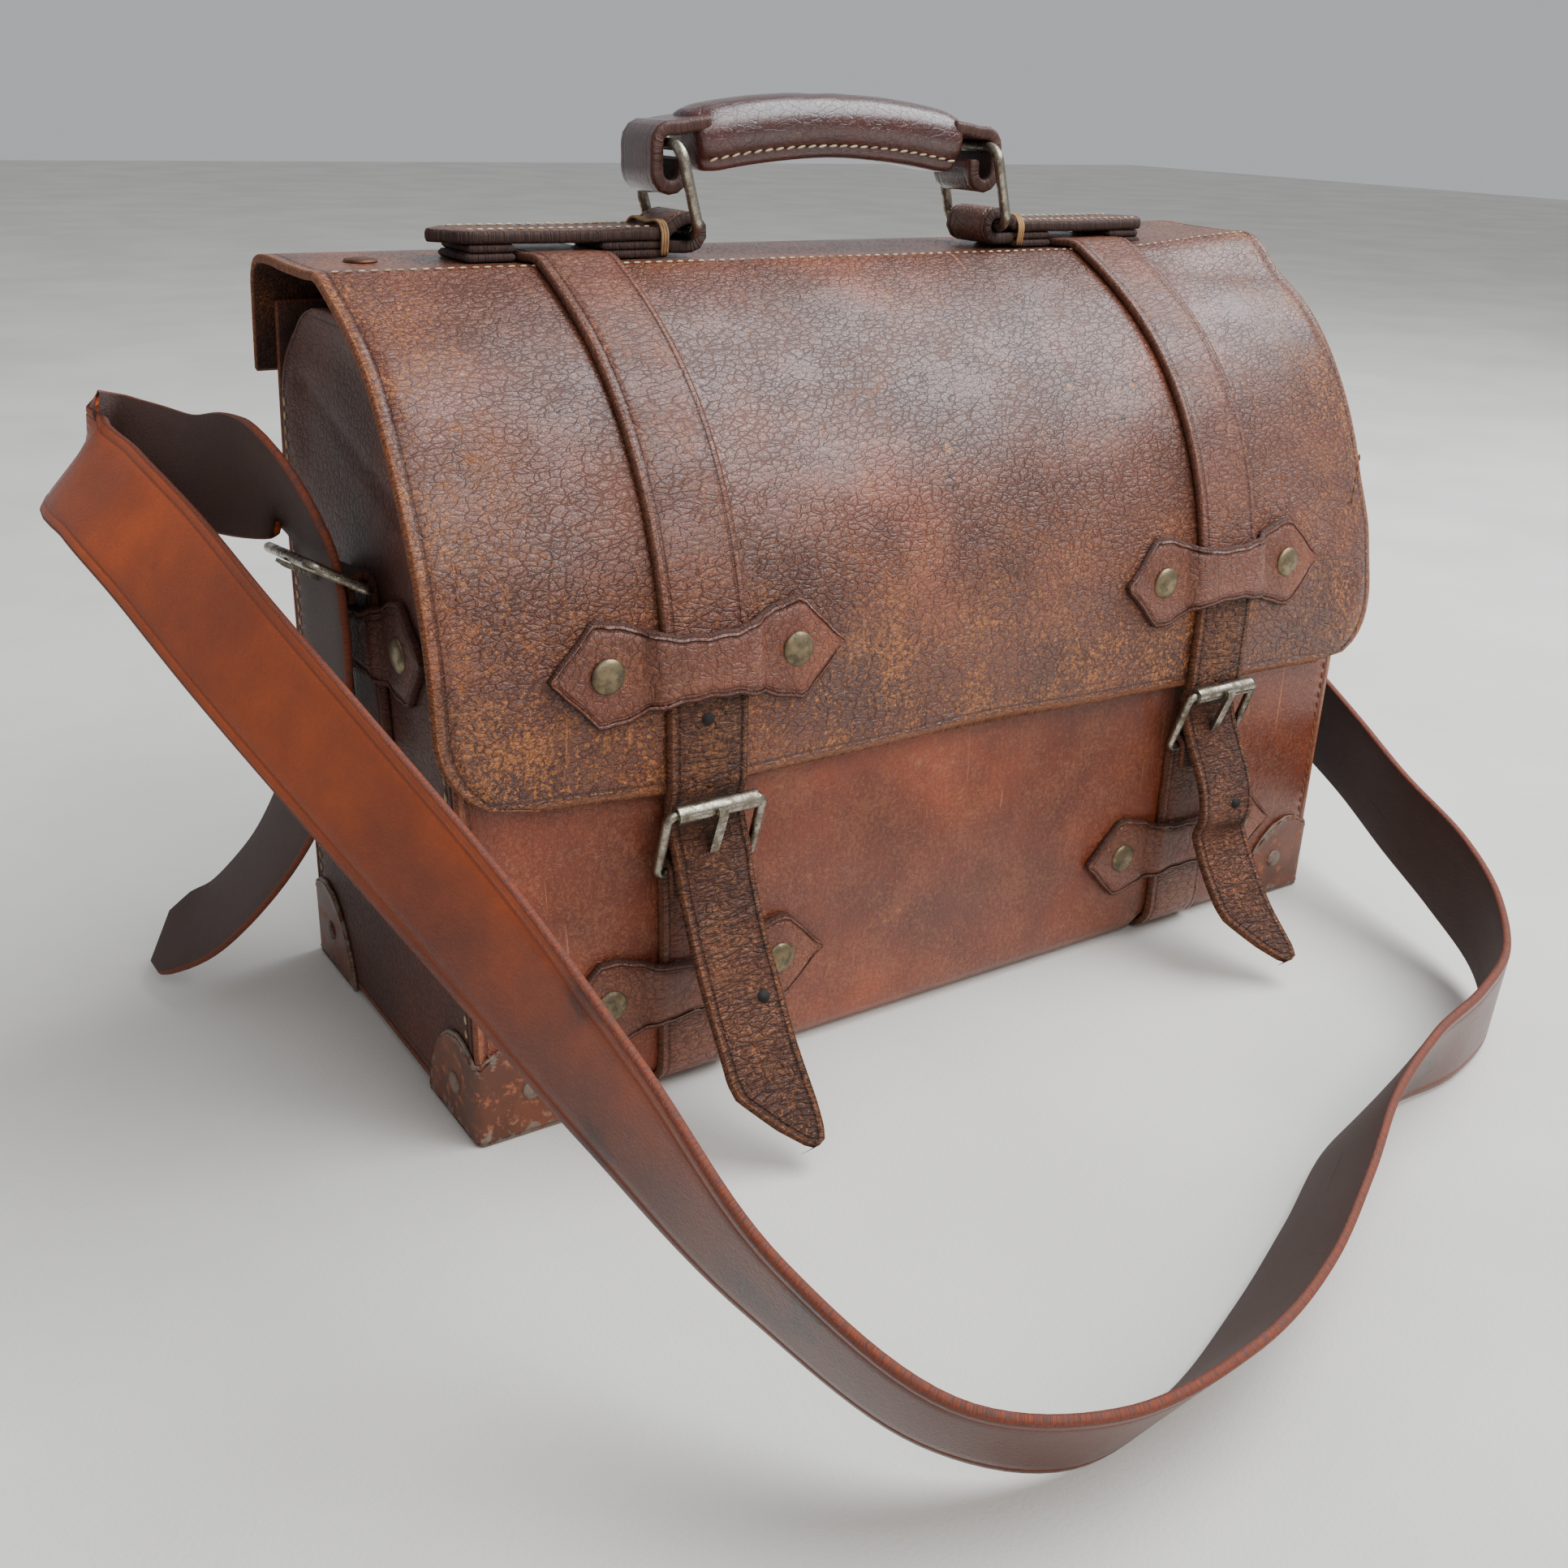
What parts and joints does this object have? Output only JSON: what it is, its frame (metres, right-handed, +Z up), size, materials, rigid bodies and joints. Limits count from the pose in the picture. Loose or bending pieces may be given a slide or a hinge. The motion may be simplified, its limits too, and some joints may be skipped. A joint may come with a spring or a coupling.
{
  "type": "satchel bag",
  "caption": "Leather satchel with a fold-over flap, two buckled belts, top handle, corner caps and a long shoulder strap.",
  "frame": {"origin": "middle of the bag's base, on the surface it stands on", "axes": "+X along the bag's length to the right as the front is seen, -Y towards the front with the buckles, +Z up"},
  "size_m": [0.5568, 0.4184, 0.3245],
  "materials": {
    "body_leather": "worn smooth red-brown bridle leather",
    "flap_leather": "crackled dark red-brown leather with a sheen",
    "belt_leather": "cross-cracked brown strap leather",
    "strap_leather": "cognac to chocolate strap leather",
    "handle_leather": "glossy dark red-brown leather",
    "chape_leather": "dark burnished layered leather",
    "board": "plain leather board",
    "wire_metal": "aged nickel with grey patina",
    "rivet_brass": "dull patinated brass",
    "cap_paint": "worn brown enamel with rust",
    "thread": "waxed linen thread"
  },
  "bodies": {
    "root": {"front_panel": "body_leather", "back_panel": "body_leather", "bottom_panel": "body_leather", "gusset_left": "body_leather", "gusset_right": "body_leather", "flap_root": "flap_leather", "belt_left": "belt_leather", "belt_right": "belt_leather", "lower_keeper_left": "belt_leather", "lower_keeper_right": "belt_leather", "lower_keeper_rivets": "rivet_brass", "side_strap_left": "belt_leather", "side_strap_right": "belt_leather", "side_keeper_left": "belt_leather", "side_keeper_right": "belt_leather", "side_keeper_rivets": "rivet_brass", "shoulder_strap": "strap_leather", "cap_front_left": "cap_paint", "cap_front_right": "cap_paint", "cap_back_left": "cap_paint", "cap_back_right": "cap_paint", "cap_rivets": "cap_paint"},
    "flap": {"flap": "flap_leather", "top_stiffener": "board", "stiffener_rivets": "rivet_brass", "flap_strap_left": "belt_leather", "flap_strap_right": "belt_leather", "strap_tail_left": "belt_leather", "strap_tail_right": "belt_leather", "upper_keeper_left": "belt_leather", "upper_keeper_right": "belt_leather", "upper_keeper_rivets": "rivet_brass", "chape_left": "chape_leather", "chape_right": "chape_leather", "chape_blocks": "chape_leather", "thread_wraps": "thread"},
    "ring_left": {"ring_left": "wire_metal"},
    "ring_right": {"ring_right": "wire_metal"},
    "handle": {"handle_core": "handle_leather", "handle_grip": "handle_leather"},
    "buckle_left": {"buckle_frame_left": "wire_metal"},
    "buckle_right": {"buckle_frame_right": "wire_metal"},
    "roller_left": {"roller_left": "wire_metal"},
    "roller_right": {"roller_right": "wire_metal"},
    "prong_left": {"prong_left": "wire_metal"},
    "prong_right": {"prong_right": "wire_metal"},
    "side_buckle_left": {"side_buckle_left": "wire_metal"},
    "side_buckle_right": {"side_buckle_right": "wire_metal"},
    "side_prong_left": {"side_prong_left": "wire_metal"},
    "side_prong_right": {"side_prong_right": "wire_metal"}
  },
  "joints": [
    {"name": "flap_open", "type": "hinge", "parent": "root", "child": "flap", "pos_m": [0, 0.06, 0.2752], "axis": [-1, 0, 0], "range_deg": [0, 120], "deforming": ["strap_tail_left", "strap_tail_right"]},
    {"name": "ring_left_swing", "type": "hinge", "parent": "flap", "child": "ring_left", "pos_m": [-0.067, 0.028, 0.2803], "axis": [0, 1, 0], "range_deg": [-35, 65]},
    {"name": "handle_tilt", "type": "hinge", "parent": "ring_left", "child": "handle", "pos_m": [-0.07476, 0.028, 0.30928], "axis": [0, 1, 0], "range_deg": [-65, 35]},
    {"name": "ring_right_swing", "type": "hinge", "parent": "flap", "child": "ring_right", "pos_m": [0.073, 0.028, 0.2803], "axis": [0, 1, 0], "range_deg": [-35, 65]},
    {"name": "buckle_left_swing", "type": "hinge", "parent": "root", "child": "buckle_left", "pos_m": [-0.118, -0.08425, 0.088], "axis": [1, 0, 0], "range_deg": [-4, 75]},
    {"name": "roller_left_spin", "type": "hinge", "parent": "buckle_left", "child": "roller_left", "pos_m": [-0.118, -0.0917, 0.11155], "axis": [1, 0, 0], "continuous": true},
    {"name": "prong_left_swing", "type": "hinge", "parent": "buckle_left", "child": "prong_left", "pos_m": [-0.118, -0.08425, 0.088], "axis": [1, 0, 0], "range_deg": [0, 55]},
    {"name": "buckle_right_swing", "type": "hinge", "parent": "root", "child": "buckle_right", "pos_m": [0.118, -0.08425, 0.088], "axis": [1, 0, 0], "range_deg": [-4, 75]},
    {"name": "roller_right_spin", "type": "hinge", "parent": "buckle_right", "child": "roller_right", "pos_m": [0.118, -0.0917, 0.11155], "axis": [1, 0, 0], "continuous": true},
    {"name": "prong_right_swing", "type": "hinge", "parent": "buckle_right", "child": "prong_right", "pos_m": [0.118, -0.08425, 0.088], "axis": [1, 0, 0], "range_deg": [0, 55]},
    {"name": "side_buckle_left_swing", "type": "hinge", "parent": "root", "child": "side_buckle_left", "pos_m": [-0.20525, -0.00101, 0.1759], "axis": [0, -0.9945, 0.1045], "range_deg": [-50, 40], "deforming": ["shoulder_strap"]},
    {"name": "side_prong_left_swing", "type": "hinge", "parent": "side_buckle_left", "child": "side_prong_left", "pos_m": [-0.20525, -0.00101, 0.1759], "axis": [0, -0.9945, 0.1045], "range_deg": [0, 30]},
    {"name": "side_buckle_right_swing", "type": "hinge", "parent": "root", "child": "side_buckle_right", "pos_m": [0.20525, -0.00101, 0.1759], "axis": [0, 0.9945, -0.1045], "range_deg": [-50, 40], "deforming": ["shoulder_strap"]},
    {"name": "side_prong_right_swing", "type": "hinge", "parent": "side_buckle_right", "child": "side_prong_right", "pos_m": [0.20525, -0.00101, 0.1759], "axis": [0, 0.9945, -0.1045], "range_deg": [0, 30]}
  ],
  "couplings": [
    {"joint": "handle_tilt", "follows": "ring_left_swing", "ratio": -1},
    {"joint": "ring_right_swing", "follows": "ring_left_swing", "ratio": 1}
  ]
}
